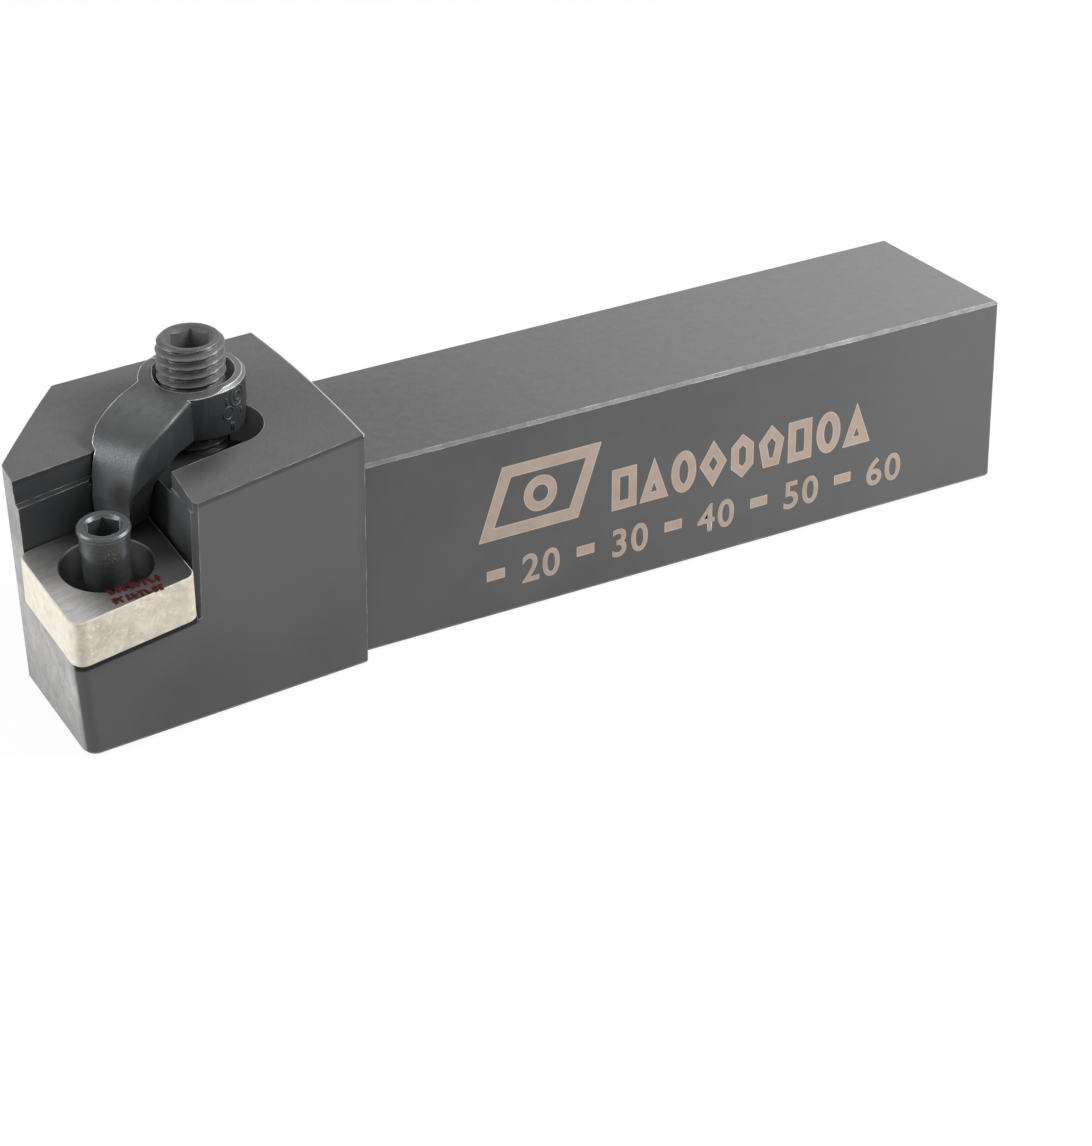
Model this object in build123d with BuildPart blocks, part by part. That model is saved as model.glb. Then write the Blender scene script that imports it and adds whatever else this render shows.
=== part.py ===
from build123d import *
import math
import os

# Right-hand turning tool holder for an 80 degree rhombic insert, which a pin locates and a
# clamp holds down.  Millimetres and degrees.  The origin is on the underside, at the
# shoulder where the head meets the shank and midway across the shank.  +X runs along the
# shank away from the cutting end, -Y is the cutting side and +Z is up.

# ---- shank ----
SHANK_SIZE = 19.05
SHANK_LENGTH = 73.5
SHANK_CHAMFER = 0.3

# ---- head blank ----
HEAD_STEP = 1.9
SIDE_ANGLE = 5.0
FAR_SIDE_LENGTH = 20.65
FRONT_REACH = 28.05
FRONT_ANGLE = 7.8
FRONT_RELIEF = 5.9
NOSE_RADIUS = 1.2
CORNER_ROUNDING = 0.5
BLANK_LENGTH = 38.0
BLANK_HEIGHT = 27.0

# The head's top is a shallow crown: part of a wide cylinder that lies nearly level.
CROWN_RADIUS = 102.4
CROWN_HEADING = -14.7
CROWN_TILT = 1.03
CROWN_PEAK = 25.38
CROWN_OFFSET = 10.8

# ---- insert seat, pocket and shim ----
SEAT_NOSE = (-31.75, -15.95, 14.33)
SEAT_SLOPE_X = 5.3
SEAT_SLOPE_Y = 6.2
SEAT_HEADING = 5.0
INSERT_ANGLE = 80.0
SHIM_CIRCLE = 12.6
SHIM_THICKNESS = 4.7
SHIM_CORNER_RADIUS = 1.2
SHIM_HOLE_RADIUS = 4.2
SHIM_EDGE_BREAK = 0.12
WALL_GAP = 0.06
WALL_HEIGHT = 4.5
END_WALL_FOOT = (-18.13, -12.6)
END_WALL_LEDGE = 0.12
FOOT_RELIEF_START = 0.3
FOOT_RELIEF_DEPTH = 1.0
BACK_WALL_FOOT = (-31.2, -2.92)
BACK_WALL_HEADING = 3.5
CORNER_RELIEF_RADIUS = 1.1
CORNER_RELIEF_SETBACK = 0.7
CUT_LENGTH = 30.0

# ---- lock pin: radii, and heights above the top of the shim ----
PIN_THREAD_RADIUS = 2.9
PIN_COLLAR_RADIUS = 3.9
PIN_NECK_RADIUS = 2.15
PIN_BODY_RADIUS = 2.28
PIN_RIM_RADIUS = 2.43
PIN_RIM_BREAK = 0.15
PIN_TOP = 4.2
PIN_RIM_BOTTOM = 3.72
PIN_STEP = 1.9
PIN_COLLAR_TOP = -3.0
PIN_BOTTOM = -14.2
PIN_HEX = 2.78
PIN_HEX_DEPTH = 2.6
PIN_FLARE_RADIUS = 1.75
PIN_FLARE_DEPTH = 0.25

# ---- clamp, with heights above its foot along the screw's axis ----
CLAMP_FOOT = (-11.1, 0.225, 24.3)
CLAMP_HEADING = 26.0
BOSS_RADIUS = 4.85
BOSS_BOTTOM = 0.42
BOSS_TOP = 3.5
BOSS_RIM_CHAMFER = 0.3
COUNTERSINK_RADIUS = 3.95
HEEL_CLEARANCE = 0.3
HEEL_BOTTOM = 22.9
ARM_LEFT_WIDTH = 3.5
ARM_RIGHT_WIDTH = 3.2
ARM_LENGTH = 12.34
ARM_RIGHT_EDGE = (8.5, -3.1, -25.9)
ARM_EDGE_FILLET = 0.4
ARM_RELIEF_LENGTH = 9.3
ARM_RELIEF_WIDTH = 2.5
ARM_RELIEF_TOP = 24.65
TIP_BOTTOM = 17.3
TIP_WALL_POINT = (-21.0, -2.95)

# ---- slot in the head for the clamp's heel and arm ----
SLOT_END = (-9.95, -4.075)
SLOT_RADIUS = 3.3
SLOT_HEADING = 5.5
SLOT_RUN = 11.0
SLOT_FLOOR = 20.6
ARM_SLOT_START = 2.0
ARM_SLOT_END = 11.3
ARM_SLOT_LEFT = 2.7
ARM_SLOT_RIGHT = 2.0

# ---- clamp screw, with heights above the clamp's foot along its axis ----
SCREW_RADIUS = 3.12
SCREW_HOLE_RADIUS = 3.2
SCREW_TOP = 6.9
SCREW_BOTTOM = -11.0
SCREW_HOLE_BOTTOM = -14.0
SCREW_END_CHAMFER = 0.55
SCREW_HEX = 3.175
SCREW_HEX_DEPTH = 3.2
SCREW_FLARE_RADIUS = 2.35
SCREW_FLARE_DEPTH = 0.45

RUNNING_GAP = 0.06

HALF_SHANK = SHANK_SIZE / 2
SEAT_SIDE = SHIM_CIRCLE / math.sin(math.radians(INSERT_ANGLE))


def level(angle, length=1.0):
    """Level vector turned by angle from +X."""
    return Vector(length * math.cos(math.radians(angle)), length * math.sin(math.radians(angle)), 0)


def seat_plane(height):
    """Plane parallel to the insert seat, at a height above the shim's top, from its nose."""
    rise_x = math.tan(math.radians(SEAT_SLOPE_X))
    rise_y = math.tan(math.radians(SEAT_SLOPE_Y))
    edge = level(SEAT_HEADING)
    edge = Vector(edge.X, edge.Y, rise_x * edge.X + rise_y * edge.Y)
    return Plane(origin=SEAT_NOSE, x_dir=edge, z_dir=(-rise_x, -rise_y, 1)).offset(height)


def seat_point(u, v):
    """Point u along the shim's side edge and v along its front edge, in the seat's plane."""
    lean = math.radians(INSERT_ANGLE)
    return (u + v * math.cos(lean), v * math.sin(lean))


def plan(point):
    """The X and Y of a point."""
    return (point.X, point.Y)


def sink_hexagon(plane, size, depth, flare_radius, flare_depth):
    """Hexagonal socket sunk below a plane, with a flared mouth."""
    with BuildSketch(plane) as hexagon:
        RegularPolygon(size / 2, 6, major_radius=False)
    extrude(hexagon.sketch, amount=-depth, mode=Mode.SUBTRACT)
    with BuildSketch(plane) as mouth:
        Circle(flare_radius)
    extrude(mouth.sketch, amount=-flare_depth, taper=45, mode=Mode.SUBTRACT)


def heel_slot(inset):
    """Outline of the round-ended slot that the clamp's heel slides in."""
    middle = Vector(*SLOT_END) - level(SLOT_HEADING, SLOT_RUN / 2)
    with Locations(Location((middle.X, middle.Y, 0), (0, 0, SLOT_HEADING))):
        SlotCenterToCenter(SLOT_RUN, 2 * (SLOT_RADIUS - inset))


SEAT = seat_plane(0)
PIN_CENTRE = SEAT.from_local_coords((*seat_point(SEAT_SIDE / 2, SEAT_SIDE / 2), 0))
PIN_SEAT = Plane(origin=PIN_CENTRE, x_dir=SEAT.x_dir, z_dir=SEAT.z_dir)

# The clamp's screw leans half as far as the seat does.
SCREW_BASE = Plane(origin=CLAMP_FOOT, x_dir=(1, 0, 0), z_dir=SEAT.z_dir + Vector(0, 0, 1))
REACH = level(180 + CLAMP_HEADING)
ACROSS = level(90 + CLAMP_HEADING)
ARM_ROOT = Vector(CLAMP_FOOT[0], CLAMP_FOOT[1], 0)
# Seen from above, X runs along the arm and Y to its left, where the back wall is.
ARM_PLAN = Plane(origin=ARM_ROOT, x_dir=REACH, z_dir=(0, 0, -1))
ARM_SIDE = Plane(origin=ARM_ROOT, x_dir=REACH, z_dir=ACROSS)
ARM_FRONT = Plane(origin=ARM_ROOT, x_dir=-ACROSS, z_dir=REACH)

NEAR_Y = -HALF_SHANK - HEAD_STEP
SIDE_DROP = BLANK_LENGTH * math.tan(math.radians(SIDE_ANGLE))
CORNER_CUT = BLANK_LENGTH - FAR_SIDE_LENGTH
FRONT_LEAN = (-1, math.tan(math.radians(FRONT_ANGLE)), -math.tan(math.radians(FRONT_RELIEF)))
FRONT_FACE = Plane(origin=(-FRONT_REACH, 0, 0), z_dir=FRONT_LEAN)
CROWN_AXIS = level(CROWN_HEADING) + Vector(0, 0, math.tan(math.radians(CROWN_TILT)))
CROWN = Plane(origin=(0, CROWN_OFFSET, CROWN_PEAK - CROWN_RADIUS), z_dir=CROWN_AXIS)

END_WALL = level(SEAT_HEADING + INSERT_ANGLE, CUT_LENGTH)


# The lower pocket is square to the seat at the back, and its end wall is upright.
with BuildPart() as lower_pocket:
    with BuildSketch(seat_plane(-SHIM_THICKNESS)):
        with Locations((0, SHIM_CIRCLE + WALL_GAP)):
            Rectangle(3 * CUT_LENGTH, 2 * CUT_LENGTH, align=(Align.CENTER, Align.MAX))
    extrude(amount=CUT_LENGTH)
    with BuildSketch(seat_plane(-SHIM_THICKNESS - FOOT_RELIEF_DEPTH)):
        with Locations(Location((SEAT_SIDE + FOOT_RELIEF_START, 0, 0), (0, 0, INSERT_ANGLE - 90))):
            Rectangle(CUT_LENGTH, 2 * CUT_LENGTH, align=(Align.MIN, Align.CENTER))
        with Locations((0, SHIM_CIRCLE + WALL_GAP)):
            Rectangle(3 * CUT_LENGTH, 2 * CUT_LENGTH, align=(Align.CENTER, Align.MAX), mode=Mode.INTERSECT)
    extrude(amount=2 * FOOT_RELIEF_DEPTH)
    with BuildSketch():
        lower_foot = Vector(*END_WALL_FOOT) + Vector(-END_WALL_LEDGE, END_WALL_LEDGE)
        with BuildLine():
            Polyline(
                (lower_foot.X + CUT_LENGTH, lower_foot.Y - CUT_LENGTH),
                plan(lower_foot),
                plan(lower_foot + END_WALL),
                plan(lower_foot + END_WALL - Vector(CUT_LENGTH, 0)),
                (lower_foot.X - CUT_LENGTH, lower_foot.Y - CUT_LENGTH),
                close=True,
            )
        make_face()
    extrude(amount=2 * BLANK_HEIGHT, mode=Mode.INTERSECT)

# Above the insert's cheek the walls step back and stand upright.
with BuildPart() as upper_pocket:
    with BuildSketch(seat_plane(WALL_HEIGHT)):
        Rectangle(4 * CUT_LENGTH, 4 * CUT_LENGTH)
    extrude(amount=CUT_LENGTH)
    with BuildSketch():
        foot = Vector(*END_WALL_FOOT)
        back = Vector(*BACK_WALL_FOOT)
        along_back = level(BACK_WALL_HEADING)
        inner_run = (foot.X + 0.9 - back.X) / along_back.X
        with BuildLine():
            Polyline(
                (foot.X + CUT_LENGTH, foot.Y - CUT_LENGTH),
                plan(foot),
                plan(back + along_back * inner_run),
                plan(back - along_back * CUT_LENGTH),
                (foot.X - CUT_LENGTH, foot.Y - CUT_LENGTH),
                close=True,
            )
        make_face()
    extrude(amount=2 * BLANK_HEIGHT, mode=Mode.INTERSECT)

with BuildPart() as holder_body:
    with BuildSketch():
        with BuildLine():
            Polyline(
                (0, NEAR_Y),
                (0, HALF_SHANK),
                (-FAR_SIDE_LENGTH, HALF_SHANK),
                (-BLANK_LENGTH, HALF_SHANK - CORNER_CUT),
                (-BLANK_LENGTH, NEAR_Y - SIDE_DROP),
                close=True,
            )
        make_face()
    extrude(amount=BLANK_HEIGHT)
    split(bisect_by=FRONT_FACE, keep=Keep.BOTTOM)
    uprights = holder_body.edges().filter_by(lambda edge: edge.length > 0.9 * BLANK_HEIGHT)
    fillet(uprights.sort_by(Axis.Y)[0], NOSE_RADIUS)
    uprights = holder_body.edges().filter_by(lambda edge: edge.length > 0.9 * BLANK_HEIGHT)
    far_corners = uprights.filter_by(lambda edge: edge.center().X < -10 and edge.center().Y > 0)
    fillet(far_corners, CORNER_ROUNDING)
    with Locations(CROWN.location):
        Cylinder(CROWN_RADIUS, 4 * BLANK_LENGTH, mode=Mode.INTERSECT)
    with BuildSketch(Plane.YZ):
        Rectangle(SHANK_SIZE, SHANK_SIZE, align=(Align.CENTER, Align.MIN))
    extrude(amount=SHANK_LENGTH)
    shank_edges = holder_body.edges().filter_by(Axis.X).filter_by(lambda edge: edge.center().X > 0)
    end_edges = holder_body.faces().sort_by(Axis.X)[-1].edges()
    chamfer(shank_edges + end_edges, SHANK_CHAMFER)
    add(lower_pocket.part, mode=Mode.SUBTRACT)
    add(upper_pocket.part, mode=Mode.SUBTRACT)
    # Round relief in the pocket's inner corner.
    with BuildSketch(seat_plane(-SHIM_THICKNESS)):
        with Locations(seat_point(SEAT_SIDE + CORNER_RELIEF_SETBACK, SEAT_SIDE)):
            Circle(CORNER_RELIEF_RADIUS)
    extrude(amount=SHIM_THICKNESS + WALL_HEIGHT + 1, mode=Mode.SUBTRACT)
    # Slot for the clamp's heel, then the opening that its arm reaches through.
    with BuildSketch(Plane.XY.offset(SLOT_FLOOR)):
        heel_slot(0)
    extrude(amount=BLANK_HEIGHT, mode=Mode.SUBTRACT)
    with BuildSketch(ARM_PLAN.offset(-SLOT_FLOOR)):
        arm_middle = (ARM_SLOT_START / 2 + ARM_SLOT_END / 2, ARM_SLOT_LEFT / 2 - ARM_SLOT_RIGHT / 2)
        with Locations(arm_middle):
            Rectangle(ARM_SLOT_END - ARM_SLOT_START, ARM_SLOT_LEFT + ARM_SLOT_RIGHT)
    extrude(amount=-BLANK_HEIGHT, mode=Mode.SUBTRACT)
    # Hole for the lock pin, open at the underside, and the clamp screw's blind hole.
    with BuildSketch(PIN_SEAT):
        Circle(PIN_THREAD_RADIUS + RUNNING_GAP)
    extrude(amount=-2 * SHANK_SIZE, mode=Mode.SUBTRACT)
    with BuildSketch(SCREW_BASE.offset(SCREW_HOLE_BOTTOM)):
        Circle(SCREW_HOLE_RADIUS)
    extrude(amount=SHANK_SIZE, mode=Mode.SUBTRACT)
holder_body.part.label = "holder_body"

with BuildPart() as shim:
    with BuildSketch(SEAT):
        with BuildLine():
            Polyline(
                seat_point(0, 0),
                seat_point(SEAT_SIDE, 0),
                seat_point(SEAT_SIDE, SEAT_SIDE),
                seat_point(0, SEAT_SIDE),
                close=True,
            )
        make_face()
        fillet(vertices(), SHIM_CORNER_RADIUS)
        with Locations(seat_point(SEAT_SIDE / 2, SEAT_SIDE / 2)):
            Circle(SHIM_HOLE_RADIUS, mode=Mode.SUBTRACT)
    extrude(amount=-SHIM_THICKNESS)
    chamfer(shim.faces().filter_by(SEAT).edges(), SHIM_EDGE_BREAK)
shim.part.label = "shim"

with BuildPart() as lock_pin:
    collar_bottom = -SHIM_THICKNESS + RUNNING_GAP
    with BuildSketch(Plane(origin=PIN_CENTRE, x_dir=PIN_SEAT.x_dir, z_dir=-PIN_SEAT.y_dir)):
        with BuildLine():
            Polyline(
                (0, PIN_BOTTOM),
                (PIN_THREAD_RADIUS - 0.5, PIN_BOTTOM),
                (PIN_THREAD_RADIUS, PIN_BOTTOM + 0.5),
                (PIN_THREAD_RADIUS, collar_bottom),
                (PIN_COLLAR_RADIUS, collar_bottom),
                (PIN_COLLAR_RADIUS, PIN_COLLAR_TOP - 0.4),
                (PIN_COLLAR_RADIUS - 0.4, PIN_COLLAR_TOP),
                (PIN_NECK_RADIUS, PIN_COLLAR_TOP),
                (PIN_NECK_RADIUS, PIN_STEP - 0.15),
                (PIN_BODY_RADIUS, PIN_STEP),
                (PIN_BODY_RADIUS, PIN_RIM_BOTTOM),
                (PIN_RIM_RADIUS, PIN_RIM_BOTTOM),
                (PIN_RIM_RADIUS, PIN_TOP - PIN_RIM_BREAK),
                (PIN_RIM_RADIUS - PIN_RIM_BREAK, PIN_TOP),
                (0, PIN_TOP),
                close=True,
            )
        make_face()
    revolve(axis=Axis(PIN_CENTRE, PIN_SEAT.z_dir))
    sink_hexagon(PIN_SEAT.offset(PIN_TOP), PIN_HEX, PIN_HEX_DEPTH, PIN_FLARE_RADIUS, PIN_FLARE_DEPTH)
    underside = Plane(origin=PIN_SEAT.offset(PIN_BOTTOM).origin, x_dir=PIN_SEAT.x_dir, z_dir=-PIN_SEAT.z_dir)
    sink_hexagon(underside, PIN_HEX, PIN_HEX_DEPTH, PIN_FLARE_RADIUS, PIN_FLARE_DEPTH)
lock_pin.part.label = "lock_pin"


def arm_crest():
    """The arm's upper surface seen from the side, as distance from the screw and height."""
    Line((0, 27.79), (1.2, 27.66))
    Spline(
        (1.2, 27.66),
        (4.1, 26.97),
        (6.35, 26.62),
        (8.32, 25.96),
        (10.31, 24.79),
        (11.43, 23.38),
        (12.0, 21.56),
        (ARM_LENGTH, 19.6),
        (12.2, TIP_BOTTOM),
    )


# The clamp's arm is a bent profile seen from the side, cut to its outlines from the front and above.
with BuildPart() as arm:
    with BuildSketch(ARM_SIDE):
        with BuildLine():
            arm_crest()
            Polyline((12.2, TIP_BOTTOM), (9.4, TIP_BOTTOM), (9.0, 20.4), (8.2, 21.9))
            Spline((8.2, 21.9), (7.4, 22.6), (6.4, HEEL_BOTTOM))
            Polyline((6.4, HEEL_BOTTOM), (0, HEEL_BOTTOM), (0, 27.79))
        make_face()
    extrude(amount=2 * BOSS_RADIUS, both=True)
    with BuildSketch(ARM_FRONT):
        with BuildLine():
            left_side = [(-2.0, TIP_BOTTOM), (-2.25, 19.6), (-2.45, 22.0), (-2.5, 23.55), (-3.0, 23.95)]
            left_side += [(-ARM_LEFT_WIDTH, 25.2), (-ARM_LEFT_WIDTH, 30)]
            right_side = [(BOSS_RADIUS, 30), (BOSS_RADIUS, 22.4), (2.9, 22.0), (2.0, 20.2), (1.7, TIP_BOTTOM)]
            Polyline(*left_side, *right_side, close=True)
        make_face()
    extrude(amount=2 * CUT_LENGTH, both=True, mode=Mode.INTERSECT)
    with BuildSketch(ARM_PLAN):
        with BuildLine():
            Spline(
                (0, -2.3),
                (3.3, -2.75),
                (5.7, -3.1),
                (7.7, -ARM_RIGHT_WIDTH),
                (9.2, -3.0),
                (10.6, -2.65),
                (ARM_LENGTH, -1.95),
            )
            Line((ARM_LENGTH, -1.95), (ARM_LENGTH, 2.3))
            Spline((ARM_LENGTH, 2.3), (11.3, 2.95), (10.3, 3.4), (8.0, ARM_LEFT_WIDTH))
            Polyline((8.0, ARM_LEFT_WIDTH), (0, ARM_LEFT_WIDTH), (0, -2.3))
        make_face()
    extrude(amount=-2 * BLANK_HEIGHT, mode=Mode.INTERSECT)
    long_edges = arm.edges().filter_by(lambda edge: edge.length > ARM_LENGTH)
    fillet(long_edges.sort_by_distance(ARM_PLAN.from_local_coords(ARM_RIGHT_EDGE))[0], ARM_EDGE_FILLET)
    # Below the head's top the left side is cut back to pass through the slot.
    with BuildSketch(ARM_PLAN):
        with Locations((0, ARM_RELIEF_WIDTH)):
            Rectangle(2 * ARM_RELIEF_LENGTH, BOSS_RADIUS, align=(Align.CENTER, Align.MIN))
    extrude(amount=-ARM_RELIEF_TOP, mode=Mode.SUBTRACT)
    # The tip keeps clear of the pocket's back wall.
    with BuildSketch():
        with Locations(Location((*TIP_WALL_POINT, 0), (0, 0, SEAT_HEADING))):
            Rectangle(CUT_LENGTH, CUT_LENGTH, align=(Align.CENTER, Align.MIN))
    extrude(amount=SLOT_FLOOR + 0.25, mode=Mode.SUBTRACT)

# The heel is the part of the boss that drops into the slot and keeps the clamp from turning.
with BuildPart() as heel:
    with BuildSketch(Plane.XY.offset(HEEL_BOTTOM)):
        heel_slot(HEEL_CLEARANCE)
    extrude(amount=BOSS_RADIUS / 2)
    with BuildSketch(SCREW_BASE.offset(-BOSS_RADIUS)):
        Circle(BOSS_RADIUS)
    extrude(amount=2 * BOSS_RADIUS, mode=Mode.INTERSECT)

with BuildPart() as clamp:
    with BuildSketch(SCREW_BASE.offset(BOSS_BOTTOM)):
        Circle(BOSS_RADIUS)
    extrude(amount=BOSS_TOP - BOSS_BOTTOM)
    chamfer(clamp.edges().sort_by(Axis.Z)[-1], BOSS_RIM_CHAMFER)
    # In front of the screw the arm's upper surface runs through the boss.
    with BuildSketch(ARM_SIDE):
        with BuildLine():
            arm_crest()
            Polyline((12.2, TIP_BOTTOM), (14.0, TIP_BOTTOM), (14.0, 30), (0, 30), (0, 27.79))
        make_face()
    extrude(amount=BOSS_RADIUS, both=True, mode=Mode.SUBTRACT)
    add(arm.part)
    add(heel.part)
    with BuildSketch(SCREW_BASE.offset(BOSS_TOP)):
        Circle(COUNTERSINK_RADIUS)
    extrude(amount=SCREW_HOLE_RADIUS - COUNTERSINK_RADIUS, taper=45, mode=Mode.SUBTRACT)
    with BuildSketch(SCREW_BASE.offset(-BOSS_RADIUS)):
        Circle(SCREW_HOLE_RADIUS)
    extrude(amount=4 * BOSS_RADIUS, mode=Mode.SUBTRACT)
clamp.part.label = "clamp"

with BuildPart() as clamp_screw:
    with BuildSketch(SCREW_BASE.offset(SCREW_BOTTOM)):
        Circle(SCREW_RADIUS)
    extrude(amount=SCREW_TOP - SCREW_BOTTOM)
    chamfer(clamp_screw.edges().filter_by(GeomType.CIRCLE), SCREW_END_CHAMFER)
    sink_hexagon(SCREW_BASE.offset(SCREW_TOP), SCREW_HEX, SCREW_HEX_DEPTH, SCREW_FLARE_RADIUS, SCREW_FLARE_DEPTH)
clamp_screw.part.label = "clamp_screw"

os.makedirs("parts", exist_ok=True)
export_step(holder_body.part, "parts/holder_body.step")
export_step(shim.part, "parts/shim.step")
export_step(lock_pin.part, "parts/lock_pin.step")
export_step(clamp.part, "parts/clamp.step")
export_step(clamp_screw.part, "parts/clamp_screw.step")
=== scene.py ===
import math

import bmesh
import bpy
from mathutils import Matrix, Vector


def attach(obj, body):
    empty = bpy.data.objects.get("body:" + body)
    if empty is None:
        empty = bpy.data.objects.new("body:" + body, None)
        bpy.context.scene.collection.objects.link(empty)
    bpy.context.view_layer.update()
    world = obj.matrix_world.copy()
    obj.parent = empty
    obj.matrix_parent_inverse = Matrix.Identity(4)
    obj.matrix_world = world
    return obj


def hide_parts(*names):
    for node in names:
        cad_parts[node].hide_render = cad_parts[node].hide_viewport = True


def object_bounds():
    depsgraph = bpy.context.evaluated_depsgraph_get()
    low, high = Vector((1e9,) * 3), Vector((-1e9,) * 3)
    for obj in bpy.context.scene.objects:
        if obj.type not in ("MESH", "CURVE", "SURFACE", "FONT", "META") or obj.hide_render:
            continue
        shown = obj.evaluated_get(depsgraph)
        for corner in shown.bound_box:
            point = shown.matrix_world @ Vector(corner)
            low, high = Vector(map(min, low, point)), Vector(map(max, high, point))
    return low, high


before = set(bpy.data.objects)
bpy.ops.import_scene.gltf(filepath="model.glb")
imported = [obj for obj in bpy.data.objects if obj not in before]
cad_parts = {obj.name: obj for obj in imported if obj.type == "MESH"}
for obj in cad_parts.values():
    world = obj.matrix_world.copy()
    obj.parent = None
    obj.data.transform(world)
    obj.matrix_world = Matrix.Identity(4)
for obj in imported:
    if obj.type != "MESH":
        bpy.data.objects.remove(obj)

CAD_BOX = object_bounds()
MM = 0.001

# ---- the photograph's camera, in the row frame ----
CAMERA_PLACE = Vector((-168.577, -306.787, 180.552)) * MM
CAMERA_AZIMUTH = math.radians(-32.469)
CAMERA_ELEVATION = math.radians(26.7415)
CAMERA_ROLL = math.radians(0.329)
LENS_MM = 131.23
SENSOR_MM = 36.0

# ---- places on the object, in millimetres ----
SCREW_FOOT = Vector((-11.1, 0.225, 24.3))
SEAT_NOSE = Vector((-31.75, -15.95, 14.33))
SEAT_NORMAL = Vector((-0.0918349, -0.107543, 0.98995))
SEAT_EDGE_TURN = 5.0
SCREW_AXIS = (SEAT_NORMAL + Vector((0, 0, 1))).normalized()
PIN_CENTRE = Vector((-24.918, -9.059, 15.712))
SHANK_NEAR_Y = -9.525
MARK_LIFT = 0.012

# ---- the head's crowned top, its pocket, and a painted shadow of the clamp beside its slot ----
CROWN_AXIS = Vector((0.967, -0.2537, 0.018)).normalized()
CROWN_MIDDLE = Vector((0, 10.8, -77.02))
CROWN_RADIUS = 102.4
POCKET_REAR_X = -14.0
CLAMP_SHADOW_PLACE = Vector((-15.4, -8.5, 22.7))
CLAMP_SHADOW_HEADING = 20.0

# ---- the clamp screw: radii, and heights above SCREW_FOOT along SCREW_AXIS ----
CREST_RADIUS = 3.165
THREAD_DEPTH = 0.5
THREAD_PITCH = 0.907
CREST_SHARE = 0.12
FLANK_SHARE = 0.76
RINGS_PER_TURN = 14
FIRST_CREST_HEIGHT = 6.05
FIRST_CREST_ANGLE = math.radians(-116.6)
SCREW_TOP = 6.9
SCREW_BOTTOM = -11.0
SCREW_TOP_RADIUS = 2.72
SCREW_TOP_SLOPE = 0.95
SOCKET_FLATS = 3.5
SOCKET_DEPTH = 3.2
SOCKET_POINT = 0.8
SOCKET_MOUTH_RADIUS = 2.25
SOCKET_MOUTH_SLOPE = 0.8
TOP_ROUNDING = 0.04
SCREW_SIDES = 96

# ---- the cast marks on the clamp's boss: turns in degrees round SCREW_AXIS, and heights ----
BOSS_RADIUS = 4.85
CAST_RINGS = ((-62, 2.2, 0.95), (-62, 2.2, 0.45), (-76.5, 0.9, 0.6))
CAST_RIDGES = ((-73.5, -0.9, -0.1), (-70.5, -1.0, -0.15), (-56, 0.2, 0.8), (-79, 1.7, 2.5))
CAST_WIDTH = 0.17
CAST_LIFT = 0.08
RIDGE_BEND = 0.08
RIDGE_SECTION = 8
RING_SIDES = 24

# ---- the etched marks on the shank's near face: x from the shoulder, z up from the base ----
SCALE_FIGURES = (20, 30, 40, 50, 60)
SCALE_DASHES = (15, 25, 35, 45, 55)
DASH_HALF_WIDTH = 0.9
DASH_BOTTOM = 3.9
DASH_TOP = 4.75
FIGURE_SIZE = 4.05
FIGURE_SPACING = 1.12
FIGURE_BOTTOM = 2.7
FIGURE_RIM = 0.07
SHAPE_RIM = 0.1
CIRCLE_SIDES = 32
LARGE_SHAPE_MIDDLE = (19.9, 11.6)
SHAPE_ROW_START = 29.3
SHAPE_ROW_STEP = 3.4
SHAPE_ROW_HEIGHT = 9.75
TRIANGLE_HEIGHT = 9.1
SHAPE_STRETCH = 0.64
SHAPE_BAND = 0.72
# sides, turn in degrees and radius of each shape in the row
SHAPE_ROW = (
    (4, 45, 2.9),
    (3, 90, 2.75),
    (CIRCLE_SIDES, 0, 2.1),
    (4, 0, 2.3),
    (6, 30, 2.2),
    (5, 90, 2.3),
    (4, 45, 2.9),
    (CIRCLE_SIDES, 0, 2.1),
    (3, 90, 2.75),
)

# ---- the ink strokes on the shim's top: u along its near edge, v towards the back ----
# first u, first v and change of v from stroke to stroke in each row
INK_ROWS = ((5.25, 2.05, -0.11), (4.75, 0.62, -0.1))
STROKES_IN_A_ROW = 8
STROKE_STEP = 0.62
STROKE_WIDTH = 0.34
WIDE_STROKE = 0.42
STROKE_HEIGHT = 0.95
STROKE_LEAN_RIGHT = 0.16
STROKE_LEAN_LEFT = -0.1
CROSS_STROKE_LENGTH = 0.56
CROSS_STROKE_HEIGHT = 0.26
CROSS_STROKE_START = 0.05
CROSS_STROKE_STEP = 0.3

# ---- light and floor, in metres and watts ----
WORLD_LIGHT = 0.5
FLOOR_WHITE_SHARE = 0.93
FLOOR_HALF = 0.6
FLOOR_GAP = 0.0002
REAR_RIGHT_LAMP = {"place": (0.17, -0.12, 0.17), "target": (0.08, 0, 0.01), "side": 0.12, "power": 0.95}
FRONT_LEFT_LAMP = {"place": (-0.18, 0.05, 0.09), "target": (-0.03, 0, 0.01), "side": 0.1, "power": 0.3}


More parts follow.
